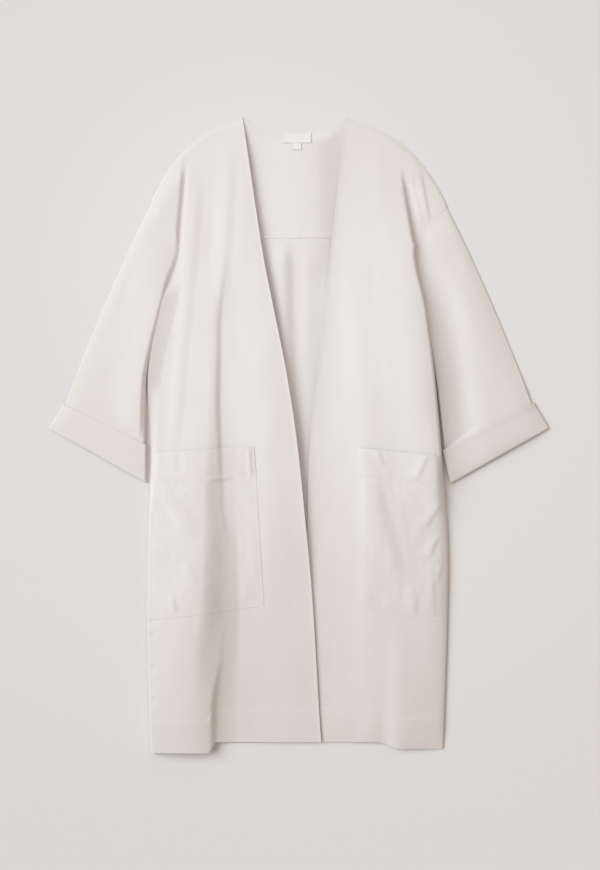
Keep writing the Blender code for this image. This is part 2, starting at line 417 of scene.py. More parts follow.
@dataclass(frozen=True)
class ClothFinish:
    """Matt plain-weave cloth: warm off-white, with uneven threads and a little nap."""

    name: str
    grain: Grain = Grain.STRAIGHT
    colour: Colour = (0.745, 0.697, 0.643, 1.0)
    shade: Colour = (0.715, 0.664, 0.609, 1.0)
    thread_mm: float = 0.62
    roughness: float = 0.92
    specular: float = 0.18
    sheen: float = 0.06
    sheen_roughness: float = 0.55
    bump: float = 0.16
    bump_mm: float = 0.25

    def material(self) -> bpy.types.Material:
        """Return the cloth's node material, with its weave turned along the grain.

        Returns:
            The material.
        """
        material, tree, shader = new_material(self.name, self.roughness, self.specular)
        shader.inputs["Sheen Weight"].default_value = self.sheen
        shader.inputs["Sheen Roughness"].default_value = self.sheen_roughness
        turned = self._turned(tree, (1.0, 1.0, 1.0))
        warp = self._threads(tree, turned, "X")
        weft = self._threads(tree, turned, "Y")
        slub = self._noise(tree, self._turned(tree, (620.0, 26.0, 60.0)), 1.0, 3.0)
        cross = self._noise(tree, self._turned(tree, (30.0, 540.0, 60.0)), 1.0, 2.0)
        broad = self._noise(tree, turned, 7.0, 3.0)
        weave = self._math(tree, "MULTIPLY", warp, weft)
        threads = self._math(tree, "ADD", slub, cross)
        relief = self._math(tree, "ADD", weave, threads)
        tone = self._math(tree, "ADD", self._math(tree, "ADD", threads, broad), weave)
        level = self._math(tree, "DIVIDE", tone, None, 3.4)
        tint(tree, shader, level, (0.25, self.shade), (0.62, self.colour))
        bump = tree.nodes.new("ShaderNodeBump")
        bump.inputs["Strength"].default_value = self.bump
        bump.inputs["Distance"].default_value = self.bump_mm * MM
        tree.links.new(relief, bump.inputs["Height"])
        tree.links.new(bump.outputs["Normal"], shader.inputs["Normal"])
        return material

    def _turned(self, tree: bpy.types.NodeTree, scale: tuple[float, float, float]) -> bpy.types.NodeSocket:
        """Return the piece's own coordinates, turned along the grain and scaled.

        Args:
            tree: The material's node tree.
            scale: How many times each axis is stretched.

        Returns:
            The socket that gives the coordinates.
        """
        coordinates = tree.nodes.new("ShaderNodeTexCoord")
        turn = tree.nodes.new("ShaderNodeMapping")
        turn.inputs["Rotation"].default_value = (0.0, 0.0, math.radians(self.grain.value))
        stretch = tree.nodes.new("ShaderNodeMapping")
        stretch.inputs["Scale"].default_value = scale
        tree.links.new(coordinates.outputs["Object"], turn.inputs["Vector"])
        tree.links.new(turn.outputs["Vector"], stretch.inputs["Vector"])
        return stretch.outputs["Vector"]

    def _threads(
        self, tree: bpy.types.NodeTree, vector: bpy.types.NodeSocket, axis: str
    ) -> bpy.types.NodeSocket:
        """Return one set of parallel threads.

        Args:
            tree: The material's node tree.
            vector: The turned coordinates.
            axis: The axis that the threads lie across.

        Returns:
            The socket that gives the threads' height.
        """
        wave = tree.nodes.new("ShaderNodeTexWave")
        wave.wave_type = "BANDS"
        wave.bands_direction = axis
        wave.inputs["Scale"].default_value = 2 * math.pi / (20.0 * self.thread_mm * MM)
        wave.inputs["Distortion"].default_value = 1.2
        wave.inputs["Detail"].default_value = 1.0
        tree.links.new(vector, wave.inputs["Vector"])
        return wave.outputs["Fac"]

    def _noise(
        self, tree: bpy.types.NodeTree, vector: bpy.types.NodeSocket, scale: float, detail: float
    ) -> bpy.types.NodeSocket:
        """Return a noise over the given coordinates.

        Args:
            tree: The material's node tree.
            vector: The coordinates.
            scale: The noise's scale.
            detail: How many finer layers it has.

        Returns:
            The socket that gives the noise.
        """
        texture = tree.nodes.new("ShaderNodeTexNoise")
        texture.inputs["Scale"].default_value = scale
        texture.inputs["Detail"].default_value = detail
        tree.links.new(vector, texture.inputs["Vector"])
        return texture.outputs["Fac"]

    def _math(
        self,
        tree: bpy.types.NodeTree,
        operation: str,
        first: bpy.types.NodeSocket,
        second: bpy.types.NodeSocket | None,
        constant: float = 1.0,
    ) -> bpy.types.NodeSocket:
        """Return two values, or a value and a constant, put through a sum.

        Args:
            tree: The material's node tree.
            operation: The sum's name.
            first: The first value.
            second: The second value, or None where the constant takes its place.
            constant: The constant.

        Returns:
            The socket that gives the result.
        """
        node = tree.nodes.new("ShaderNodeMath")
        node.operation = operation
        tree.links.new(first, node.inputs[0])
        if second is None:
            node.inputs[1].default_value = constant
        else:
            tree.links.new(second, node.inputs[1])
        return node.outputs["Value"]


@dataclass(frozen=True)
class PlainFinish:
    """A smooth finish with a fine grain, for tape and thread."""

    name: str
    colour: Colour
    dark: Colour
    grain_scale: float
    roughness: float
    sheen: float = 0.05
    specular: float = 0.2

    def material(self) -> bpy.types.Material:
        """Return the finish as a node material.

        Returns:
            The material.
        """
        material, tree, shader = new_material(self.name, self.roughness, self.specular)
        shader.inputs["Sheen Weight"].default_value = self.sheen
        coordinates = tree.nodes.new("ShaderNodeTexCoord")
        grain = tree.nodes.new("ShaderNodeTexNoise")
        grain.inputs["Scale"].default_value = self.grain_scale
        tree.links.new(coordinates.outputs["Object"], grain.inputs["Vector"])
        tint(tree, shader, grain.outputs["Fac"], (0.3, self.dark), (0.7, self.colour))
        return material


TAPE = PlainFinish("woven_tape", (0.77, 0.745, 0.705, 1.0), (0.75, 0.725, 0.685, 1.0), 2600.0, 0.7)
THREAD = PlainFinish("sewing_thread", (0.9, 0.86, 0.81, 1.0), (0.87, 0.83, 0.78, 1.0), 3000.0, 0.75)


@dataclass(frozen=True)
class FloorFinish:
    """A pale matt floor, painted lighter away from the coat, where the pool light fades, so that it shows
    evenly lit.
    """

    name: str = "pale_floor"
    near: Colour = (0.735, 0.709, 0.677, 1.0)
    far: Colour = (0.794, 0.768, 0.733, 1.0)
    centre: tuple[float, float, float] = (0.08, -0.3, 0.0)
    near_reach: float = 0.38
    far_reach: float = 0.78
    roughness: float = 0.95
    specular: float = 0.1

    def material(self) -> bpy.types.Material:
        """Return the floor's node material.

        Returns:
            The material.
        """
        material, tree, shader = new_material(self.name, self.roughness, self.specular)
        coordinates = tree.nodes.new("ShaderNodeTexCoord")
        shift = tree.nodes.new("ShaderNodeVectorMath")
        shift.inputs[1].default_value = self.centre
        length = tree.nodes.new("ShaderNodeVectorMath")
        length.operation = "LENGTH"
        level = tree.nodes.new("ShaderNodeMapRange")
        level.inputs["From Min"].default_value = self.near_reach
        level.inputs["From Max"].default_value = self.far_reach
        tree.links.new(coordinates.outputs["Object"], shift.inputs[0])
        tree.links.new(shift.outputs["Vector"], length.inputs[0])
        tree.links.new(length.outputs["Value"], level.inputs["Value"])
        # painted light: the ramp brightens the floor with distance from the pool light's centre, making up
        # for that light's fade
        tint(tree, shader, level.outputs["Result"], (0.0, self.near), (1.0, self.far))
        return material


FLOOR = FloorFinish()


@dataclass(frozen=True)
class FrontCut:
    """The plan and relief of one front, and of the sleeve end that goes with it."""

    side: Side
    sections: tuple[Section, ...]
    relief: Relief
    pocket_share: float
    step_share: float
    cuff_outer: tuple[float, float]
    cuff_inner: tuple[float, float]
    end_outer: tuple[float, float]
    end_inner: tuple[float, float]
    seed: float
    lip_shape: LipShape
    valley: tuple[tuple[float, float], ...]
    valley_lip: float
    lip_rows: tuple[float, float]
    cap_z: float
    cap_reach: float
    step_width: float
    brim_z: float = 0.0
    shoulder_rows: float = 0.35
    valley_fade: float = 45.0
    curl_mm: float = 1.0
    shoulder_curl: float = 7.5
    foot_z: float = 0.2
    curl_row: float = 4.3
    edge_roll: float = 0.5
    edge_roll_width: float = 5.0
    hem_step: float = 0.8
    hem_row: float = 6.98
    hem_blend: float = 0.03
    bow_rise: float = 0.85
    bow_fall: float = 1.3
    bow_scale: float = 4.23
    inner_start: float = 0.35
    inner_blend: float = 0.6
    lip_blends: tuple[float, float] = (0.3, 0.4)
    curl_blend: float = 0.3
    edge_step: float = 0.02

    def section(self, row: float) -> Section:
        """Return the section at a row: curved in plan, straight in height.

        Args:
            row: The row number, which may lie between two rows.

        Returns:
            The section there.
        """
        index = min(len(self.sections) - 2, max(0, math.floor(row)))
        share = clamp(row - index)
        values = []
        for name in Section.__dataclass_fields__:
            column = [getattr(section, name) for section in self.sections]
            if name in PLAN_COLUMNS:
                values.append(curve_through(column, row))
            else:
                values.append(mix(column[index], column[index + 1], share))
        return Section(*values)

    def surface(self, section: Section, row: float, share: float) -> tuple[float, float, float]:
        """Return a point of the front's lower side.

        Args:
            section: The section at the row.
            row: The row number, from 0 at the shoulder to 8 at the hem.
            share: The share of the way from the outer edge to the front edge.

        Returns:
            The point's x, drop and height in millimetres.
        """
        step = smooth((share - self.step_share) / self.step_width + 0.5)
        x = mix(section.outer_x, section.inner_x, share)
        drop = mix(section.outer_drop, section.inner_drop, mix(share, step, section.turn))
        drop -= section.bow * self.bow_scale * share ** self.bow_rise * (1 - share) ** self.bow_fall
        from_outer = abs(x - section.outer_x)
        from_inner = abs(x - section.inner_x)
        body = mix(section.body_z, section.inner_z, smooth((share - self.inner_start) / self.inner_blend))
        body += relief_height(self.relief, x, drop) + undulation(x, drop, self.seed, 1.0)
        body += self.edge_roll * (1 - smooth(from_inner / self.edge_roll_width))
        body += self.hem_step * smooth((row - self.hem_row) / self.hem_blend + 0.5)
        reach = from_outer / section.lip
        shaped = smooth((row - self.lip_rows[0]) / self.lip_blends[0])
        shaped *= smooth((self.lip_rows[1] - row) / self.lip_blends[1])
        rise = mix(smooth(reach), self.lip_shape.rise(reach), shaped)
        z = mix(section.outer_z, max(body, section.outer_z), rise)
        z += self.brim_z * shaped * max(0.0, 1 - reach)
        if row < 1.0:
            z = self._beside_valley(section, x, drop, body)
        z = mix(CAD_SEAT, z, smooth(row / self.shoulder_rows))
        down = 1 - smooth(row * SHOULDER_ROW_MM / self.shoulder_curl)
        if row > self.curl_row:
            down = 1 - smooth(from_outer / self.curl_mm)
            down *= smooth((row - self.curl_row) / self.curl_blend)
        return x, drop, mix(z, self.foot_z, down)

    def _beside_valley(self, section: Section, x: float, drop: float, body: float) -> float:
        """Return the height above the armhole, where a valley parts the shoulder cap from the body.

        Args:
            section: The section at the row.
            x: The place across the coat.
            drop: The place down the coat.
            body: The height of the body without the valley.

        Returns:
            The height in millimetres.
        """
        (x_top, drop_top), (x_low, drop_low) = self.valley
        x_valley = mix(x_top, x_low, (drop - drop_top) / (drop_low - drop_top))
        inward = (x_valley - x) * self.side.sign
        floor = section.outer_z
        if inward < 0:
            beside = mix(floor, self.cap_z + body - section.body_z, smooth(-inward / self.cap_reach))
        else:
            beside = mix(floor, max(body, floor), smooth(inward / self.valley_lip))
        return mix(max(body, floor), max(beside, floor), smooth((drop - drop_top) / self.valley_fade))

    def outer_edge(self, row: float, outward: float) -> tuple[float, float]:
        """Return a point beside the outer edge.

        Args:
            row: The row number along the edge.
            outward: The distance from the edge, in millimetres.

        Returns:
            The point's x and drop.
        """
        section = self.section(row)
        ahead = self.section(row + self.edge_step)
        along = Vector((ahead.outer_x - section.outer_x, ahead.outer_drop - section.outer_drop)).normalized()
        turn = -self.side.sign
        return (section.outer_x - turn * along.y * outward, section.outer_drop + turn * along.x * outward)


# Rows: shoulder, armhole, chest, ribs, pocket top, hip, pocket bottom, hem stitch, hem
RIGHT_CUT = FrontCut(
    side=Side.RIGHT,
    sections=(
        Section(-248, 147, -94, 0, 38, 0, 60, 1.6, 3.6, 5.0),
        Section(-200, 213, -62.5, 213, 6, 0, 9, 1.8, 4.0, 12.5),
        Section(-229, 313, -45, 305, 0, 0, 28, 1.6, 3.6, 13.5),
        Section(-251, 430, -21, 425, 0, 0, 22, 1.6, 3.6, 14.5),
        Section(-247, 560, -3, 543, 0, 0, 10, 1.4, 3.6, 15.5),
        Section(-251, 705, 12, 688, 0, 0, 1.2, 1.15, 2.6, 11.0),
        Section(-252, 838, 22.5, 805, 0, 0, 1.2, 1.15, 2.6, 6.0),
        Section(-248, 1008, 33.5, 988, 0, 1, 1.2, 1.15, 2.4, 5.0),
        Section(-245, 1058, 37, 1041, 0, 1, 1.2, 1.15, 1.4, 5.0),
    ),
    relief=(
        Roll(
            (
                RollStation(200, -126, -124, -98, 0.0, 0.95, 0.4, 60),
                RollStation(355, -145, -138, -97, 7.0, 0.9, 0.26, 90),
                RollStation(472, -150, -140, -100, 10.0, 0.85, 0.2, 105),
                RollStation(638, -158, -134, -102, 16.5, 0.5, 0.2, 125),
                RollStation(738, -160, -120, -100, 20.0, 0.24, 0.1, 135),
                RollStation(805, -162, -120, -98, 23.5, 0.24, 0.1, 138),
                RollStation(888, -174, -134, -98, 21.5, 0.5, 0.3, 138),
                RollStation(985, -176, -147, -98, 20.0, 0.82, 0.34, 140),
                RollStation(1062, -174, -147, -98, 15.0, 0.82, 0.34, 140),
            )
        ),
        Fold(-167, 85, -213, 585, 1.6, 1.4, 18, 16, 16, 80),
        Fold(-116, 50, -131, 320, 1.6, 1.8, 24, 18, 18, 70),
        Fold(-60, 300, -40, 900, 1.2, 1.2, 40, 45, 45),
        Crease(-252, 842, -240, 838, -1.0, 6),
        Crease(-252, 868, -236, 861, -1.4, 6),
        Crease(-251, 899, -240, 895, -0.9, 6),
        Crease(-251, 921, -236, 913, -1.4, 6),
        Crease(-250, 950, -239, 945, -0.9, 6),
        Crease(-250, 978, -237, 970, -1.2, 6),
    ),
    pocket_share=0.705,
    step_share=0.355,
    cuff_outer=(-390, 480),
    cuff_inner=(-256.5, 545),
    end_outer=(-412.5, 521.5),
    end_inner=(-258, 608),
    seed=3.0,
    lip_shape=LipShape.STRIP,
    valley=((-187, 60), (-200, 213)),
    valley_lip=9.0,
    lip_rows=(1.62, 3.4),
    cap_z=6.8,
    cap_reach=8.0,
    step_width=0.05,
    brim_z=6.8,
)
LEFT_CUT = FrontCut(
    side=Side.LEFT,
    sections=(
        Section(247, 150, 77, 0, 38, 0, 60, 1.6, 3.6, 3.0),
        Section(194, 213, 54, 213, 6, 0, 6, 1.4, 12.5, 9.0),
        Section(211, 322, 44, 305, 0, 0, 4.5, 1.4, 19.5, 9.5),
        Section(225, 430, 32, 422, 0, 0, 4.5, 1.4, 22.0, 8.5),
        Section(237, 565, 18, 543, 0, 0, 5, 1.4, 18.5, 6.0),
        Section(248, 713, 14, 688, 0, 0, 36, 1.15, 12.0, 2.4),
        Section(247, 843, 12, 800, 0, 0, 42, 1.15, 10.0, 2.2),
        Section(242, 1002, 10, 988, 0, 1, 42, 1.15, 9.0, 2.2),
        Section(240, 1052, 10, 1041, 0, 1, 42, 1.15, 3.0, 1.4),
    ),
    relief=(
        Fold(170, 120, 232, 690, 3.0, 10.0, 70, 44, 44, 120),
        Fold(84, 180, 122, 760, 2.0, 1.8, 34, 36, 36),
        Fold(118, 560, 118, 1200, 0.5, 1.0, 34, 36, 36),
        Fold(168, 800, 172, 1400, 1.0, 6.0, 34, 60, 60),
        Fold(195, 55, 219, 185, 2.3, 1.6, 26, 3.0, 3.0, 30),
        Fold(184, 85, 207, 190, 2.1, 1.6, 22, 3.0, 3.0, 30),
    ),
    pocket_share=0.645,
    step_share=0.39,
    cuff_outer=(388, 478),
    cuff_inner=(241, 554),
    end_outer=(412.5, 520.5),
    end_inner=(255.5, 609),
    seed=11.0,
    lip_shape=LipShape.ROUND,
    valley=((171, 80), (194, 213)),
    valley_lip=6.0,
    lip_rows=(0.5, 9.0),
    cap_z=2.3,
    cap_reach=26.0,
    step_width=0.16,
)
CUTS = (RIGHT_CUT, LEFT_CUT)
POCKET_CREASES: dict[Side, Relief] = {
    Side.RIGHT: (
        Crease(-82, 552, -80, 600, 1.8, 6),
        Crease(-205, 612, -188, 620, -1.2, 6),
        Crease(-152, 603, -112, 600, 1.4, 6),
        Crease(-150, 612, -122, 609, -1.2, 5),
        Crease(-232, 622, -178, 690, 1.8, 22),
        Crease(-235, 636, -207, 682, -1.6, 10),
        Crease(-212, 797, -205, 825, 1.4, 7),
        Crease(-190, 742, -172, 778, 0.9, 12),
        Crease(-200, 560, -196, 592, -0.8, 10),
    ),
    Side.LEFT: (
        Fold(114, 585, 166, 800, 3.9, 1.0, 42, 22, 28, 70),
        Crease(208, 650, 196, 716, 0.6, 18),
        Fold(240, 636, 204, 690, 1.7, 1.5, 22, 7, 7, 18),
        Fold(232, 692, 212, 740, 1.6, 1.4, 20, 7, 7, 16),
        Fold(236, 744, 226, 782, 1.1, 1.0, 14, 6, 6, 12),
        Fold(219, 735, 222, 850, 1.0, 1.2, 26, 8, 8, 30),
        Crease(120, 801, 140, 812, -1.4, 9),
        Fold(188, 776, 190, 846, 0.6, 0.8, 22, 9, 9, 20),
        Fold(202, 764, 184, 834, 0.9, 1.1, 26, 13, 13, 20),
        Fold(126, 548, 141, 584, 1.3, 1.2, 16, 6, 6, 12),
        Fold(212, 560, 191, 610, 1.4, 1.3, 18, 7, 7, 14),
        Crease(150, 612, 160, 622, -1.0, 8),
        Crease(98, 600, 128, 604, -0.8, 6),
    ),
}
SLEEVE_FILL: dict[Side, dict[str, float]] = {
    Side.RIGHT: {
        "inner_height": 10.5,
        "trough_rise": 15.0,
        "inner_floor": 7.6,
        "bulge_end": 2.5,
        "underarm_lap": 3.0,
    },
    Side.LEFT: {
        "inner_height": 0.0,
        "trough": 34.0,
        "trough_rise": 50.0,
        "trough_close": 0.75,
        "trough_lead": 12.0,
        "bulge_end": 4.5,
    },
}
CUFF_FIT: dict[Side, dict[str, float]] = {
    Side.RIGHT: {"stand_off": 0.4, "flare": 0.1},
    Side.LEFT: {"stand_off": 1.1, "flare": 1.2},
}
SLEEVE_RELIEF: dict[Side, Relief] = {
    side: (
        Crease(262 * side.sign, 250, 330 * side.sign, 440, 0.9, 30),
        Crease(285 * side.sign, 230, 372 * side.sign, 430, 0.7, 24),
    )
    for side in Side
}


@dataclass
class ClothPiece:
    """Builds a cloth shell from a grid laid on a form."""

    finish: ClothFinish | PlainFinish
    slot: str = "cloth"
    shell: float = SHELL
    edge_mm: float = 0.15

    def grid(
        self, name: str, columns: list[float], rows: list[float], point: PointAt, ring: bool = False
    ) -> bpy.types.Object:
        """Make a shell from a grid whose vertices are moved onto a form.

        Args:
            name: The piece's name.
            columns: The stations across the form.
            rows: The stations down the form.
            point: The form, by column and row.
            ring: Whether the last column closes on the first, as on a tube.

        Returns:
            The shell, thickened away from its lower or inner side.
        """
        middle_row = rows[len(rows) // 2]
        middle_column = columns[len(columns) // 4]
        rows = self.edged(rows, (point(middle_column, rows[0]) - point(middle_column, rows[-1])).length)
        if not ring:
            width = (point(columns[0], middle_row) - point(columns[-1], middle_row)).length
            columns = self.edged(columns, width)
        shape = bmesh.new()
        across = len(columns) - 1
        down = len(rows) - 1
        bmesh.ops.create_grid(shape, x_segments=across, y_segments=down, size=0.5)
        for vert in shape.verts:
            column = columns[round((vert.co.x + 0.5) * across)]
            row = rows[round((0.5 - vert.co.y) * down)]
            vert.co = point(column, row)
        if ring:
            bmesh.ops.remove_doubles(shape, verts=shape.verts[:], dist=0.01 * MM)
            highest = max(shape.faces, key=lambda face: face.calc_center_median().z)
            shape.normal_update()
            upward = highest.normal.z
        else:
            shape.normal_update()
            upward = sum(face.normal.z for face in shape.faces)
        if upward < 0:
            bmesh.ops.reverse_faces(shape, faces=shape.faces[:])
        for face in shape.faces:
            face.smooth = True
        return self.finished(name, shape, -1.0 if ring else 1.0)

    def edged(self, stations: list[float], span: float) -> list[float]:
        """Add a station close to each end, so that a cut edge stays crisp.

        Args:
            stations: The stations from end to end.
            span: The length that they cover, in metres.

        Returns:
            The stations with one more beside each end.
        """
        step = (stations[-1] - stations[0]) * self.edge_mm * MM / span
        return [stations[0], stations[0] + step, *stations[1:-1], stations[-1] - step, stations[-1]]

    def finished(self, name: str, shape: bmesh.types.BMesh, offset: float) -> bpy.types.Object:
        """Turn a shape into a piece with a wall, its finish and its place on the coat.

        Args:
            name: The piece's name.
            shape: The cloth's lower or outer side.
            offset: 1 where the wall grows from that side outwards, and -1 where it grows inwards.

        Returns:
            The piece.
        """
        piece = add_object(name, shape, self.finish.material())
        wall = piece.modifiers.new("wall", "SOLIDIFY")
        wall.thickness = self.shell * MM
        wall.offset = offset
        wall.use_even_offset = False
        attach(piece, BODY)
        LOG.info("built %s", name)
        return piece


@dataclass
class Stitching:
    """Rows of small rounded stitches sewn along paths on the cloth."""

    length: float = 2.7
    pitch: float = 3.6
    width: float = 0.9
    height: float = 0.6

    def sew(self, name: str, paths: list[list[Vector]]) -> bpy.types.Object:
        """Sew stitches along paths.

        Args:
            name: The name of the row of stitches.
            paths: Lists of points on the cloth's upper side, in metres.

        Returns:
            One piece that holds all the stitches.
        """
        shape = bmesh.new()
        for path in paths:
            self._sew_path(shape, path)
        for face in shape.faces:
            face.smooth = True
        piece = add_object(name, shape, THREAD.material())
        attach(piece, BODY)
        LOG.info("sewed %s", name)
        return piece

    def _sew_path(self, shape: bmesh.types.BMesh, path: list[Vector]) -> None:
        """Set stitches one after another along a path.

        Args:
            shape: The shape that takes the stitches.
            path: Points on the cloth's upper side, in metres.
        """
        travelled = 0.0
        due = self.pitch / 2 * MM
        for start, end in zip(path, path[1:]):
            span = (end - start).length
            while due <= travelled + span:
                centre = start.lerp(end, (due - travelled) / span)
                self._set_stitch(shape, centre, (end - start).normalized())
                due += self.pitch * MM
            travelled += span

    def _set_stitch(self, shape: bmesh.types.BMesh, centre: Vector, along: Vector) -> None:
        """Add one rounded stitch.

        Args:
            shape: The shape that takes the stitch.
            centre: The stitch's middle, in metres.
            along: The direction in which it lies.
        """
        made = bmesh.ops.create_icosphere(shape, subdivisions=1, radius=0.5)
        aside = Vector((0.0, 0.0, 1.0)).cross(along).normalized()
        above = along.cross(aside)
        for vert in made["verts"]:
            offset = along * vert.co.x * self.length + aside * vert.co.y * self.width
            offset += above * vert.co.z * self.height
            vert.co = centre + offset * MM


@dataclass(kw_only=True)
class Front(ClothPiece):
    """One front panel, from the shoulder to the hem."""

    cut: FrontCut
    edge_shares: tuple[float, ...] = (0.0, 0.003, 0.006, 0.01, 0.015, 0.021)
    edge_rows: tuple[float, ...] = (0.0, 0.008, 0.016, 0.026, 0.038)
    share_count: int = 104
    row_count: int = 270
    stitch_rows: tuple[float, ...] = (7.0, 7.07)
    area_share: float = 0.8
    sections: dict[float, Section] = field(default_factory=dict)
    cut_width: float = 0.33
    cut_length: float = 1.07

    def columns(self) -> list[float]:
        """Return the stations across the front, close together at its outer edge."""
        return list(self.edge_shares) + evenly(0.03, 1.0, self.share_count)

    def rows(self) -> list[float]:
        """Return the stations down the front, close together at its shoulder."""
        return list(self.edge_rows) + evenly(0.06, 8.0, self.row_count)

    def section(self, row: float) -> Section:
        """Return the section at a row, and keep it for the next call."""
        if row not in self.sections:
            self.sections[row] = self.cut.section(row)
        return self.sections[row]

    def at(self, share: float, row: float, lift: float = 0.0) -> Vector:
        """Return a point of the front's lower side, moved up by a lift."""
        x, drop, z = self.cut.surface(self.section(row), row, share)
        return place(x, drop, z + lift)

    def build(self) -> bpy.types.Object:
        """Make the front and its hem stitches.

        Returns:
            The front's cloth.
        """
        name = "front_" + self.cut.side.value
        piece = self.grid(name + "_cloth", self.columns(), self.rows(), self.at)
        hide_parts(name)
        step = self.cut.step_share
        spans = ((0.02, step - 0.03), (step + 0.09, 0.995))
        paths = [
            [self.at(share, row, self.shell) for share in evenly(start, end, 80)]
            for row in self.stitch_rows
            for start, end in spans
        ]
        stitches = Stitching().sew(name + "_hem_stitches", paths)
        return piece


@dataclass(kw_only=True)
class PatchPocket(ClothPiece):
    """A patch pocket with a deep mouth hem, laid on its front."""

    front: Front
    creases: Relief
    outer_share: float = 0.014
    mouth_row: float = 4.0
    band_row: float = 4.33
    bottom_row: float = 6.0
    mouth_gap: float = 2.0
    crinkle: float = 0.8
    puff: float = 0.5
    band_step: float = 0.5
    groove: float = 0.45
    seat_gap: float = 0.03
    side_keep: float = 0.35
    inner_blend: float = 0.06
    side_blend: float = 0.05
    bottom_blend: float = 0.15
    mouth_blend: float = 0.5
    band_blend: float = 0.02
    groove_width: float = 0.025
    crinkle_across: float = 2.2
    crinkle_down: float = 2.6
    seed_step: float = 40.0
    share_count: int = 78
    row_count: int = 110
    area_share: float = 0.8
    topstitch_share: float = 0.012
    twin_share: float = 0.022
    end_share: float = 0.02
    cut_width: float = 0.2
    cut_length: float = 0.33

    def at(self, share: float, row: float, lift: float = 0.0) -> Vector:
        """Return a point of the pocket's lower side.

        Args:
            share: The share of the way across the front.
            row: The front's row number.
            lift: How far the point is moved up, in millimetres.

        Returns:
            The point.
        """
        cut = self.front.cut
        x, drop, z = cut.surface(self.front.section(row), row, share)
        inside = smooth((cut.pocket_share - share) / self.inner_blend)
        inside *= smooth((self.bottom_row - row) / self.bottom_blend)
        outside = smooth((share - self.outer_share) / self.side_blend)
        rise = relief_height(self.creases, x, drop) * inside * mix(self.side_keep, 1.0, outside)
        wave = undulation(
            self.crinkle_across * x, self.crinkle_down * drop, cut.seed + self.seed_step, self.crinkle
        )
        rise += wave * inside * outside
        mouth = self.mouth_gap * (1 - smooth((row - self.mouth_row) / self.mouth_blend)) * inside * outside
        band = self.band_step * (1 - smooth((row - self.band_row) / self.band_blend))
        groove = -self.groove * (1 - smooth(abs(row - self.band_row) / self.groove_width)) * inside
        base = self.front.shell + self.seat_gap
        puff = self.puff * inside * outside
        return place(x, drop, z + base + max(0.0, puff + rise + mouth + band + groove) + lift)

    def build(self) -> bpy.types.Object:
        """Make the pocket with the stitches along its edges and its band.

        Returns:
            The pocket's cloth.
        """
        side = self.front.cut.side.value
        inner = self.front.cut.pocket_share
        columns = evenly(self.outer_share, inner, self.share_count)
        rows = evenly(self.mouth_row, self.bottom_row, self.row_count)
        piece = self.grid(f"pocket_{side}_cloth", columns, rows, self.at)
        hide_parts("pocket_" + side)
        edge = inner - self.topstitch_share
        twin = edge - self.twin_share
        top = self.mouth_row + self.end_share
        bottom = self.bottom_row - self.end_share
        across = evenly(edge, self.outer_share + self.end_share, 60)
        paths = [
            [self.at(edge, row, self.shell) for row in evenly(top, bottom, 90)],
            [self.at(share, bottom, self.shell) for share in across],
            [self.at(share, self.band_row, self.shell) for share in across],
            [self.at(twin, row, self.shell) for row in evenly(top, self.band_row, 20)],
            [self.at(share, top, self.shell) for share in across],
        ]
        stitches = Stitching().sew(f"pocket_{side}_stitches", paths)
        return piece


@dataclass
class BackPanel(ClothPiece):
    """The back below the yoke, resting on the floor between the side edges."""

    inset: float = 5.5
    top_row: float = 0.88
    hem_row: float = 7.55
    cushion: float = 7.0
    cushion_length: float = 90.0
    plateau_right: float = -85.0
    right_rise: float = 105.0
    plateau_left: float = 78.0
    left_rise: float = 50.0
    share_count: int = 150
    row_count: int = 170
    area_share: float = 0.88
    relief: Relief = (
        Fold(-28, 195, -20, 640, 4.5, 3.6, 28, 20, 20, 50),
        Fold(18, 195, 10, 640, 1.2, 1.2, 20, 24, 20, 60),
    )
    cut_width: float = 0.54
    cut_length: float = 0.9

    def plateau(self, x: float) -> float:
        """Return how far the cloth below the neck stands up, from 0 to 1."""
        from_right = smooth((x - self.plateau_right) / self.right_rise)
        return from_right * smooth((self.plateau_left - x) / self.left_rise)

    def at(self, share: float, row: float) -> Vector:
        """Return a point of the back's underside.

        Args:
            share: The share of the way from the right edge to the left one.
            row: The fronts' row number.

        Returns:
            The point.
        """
        right = RIGHT_CUT.outer_edge(row, -self.inset)
        left = LEFT_CUT.outer_edge(row, -self.inset)
        x = mix(right[0], left[0], share)
        drop = mix(right[1], left[1], share)
        ends = [cut.section(self.top_row).outer_drop for cut in CUTS]
        seam = mix(ends[0], ends[1], share)
        cushion = self.cushion * self.plateau(x) * (1 - smooth((drop - seam) / self.cushion_length))
        return place(x, drop, max(0.0, cushion + relief_height(self.relief, x, drop)))

    def build(self) -> bpy.types.Object:
        """Make the back.

        Returns:
            The back's cloth.
        """
        columns = evenly(0.0, 1.0, self.share_count)
        rows = evenly(self.top_row, self.hem_row, self.row_count)
        piece = self.grid("back_cloth", columns, rows, self.at)
        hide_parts("back")
        return piece


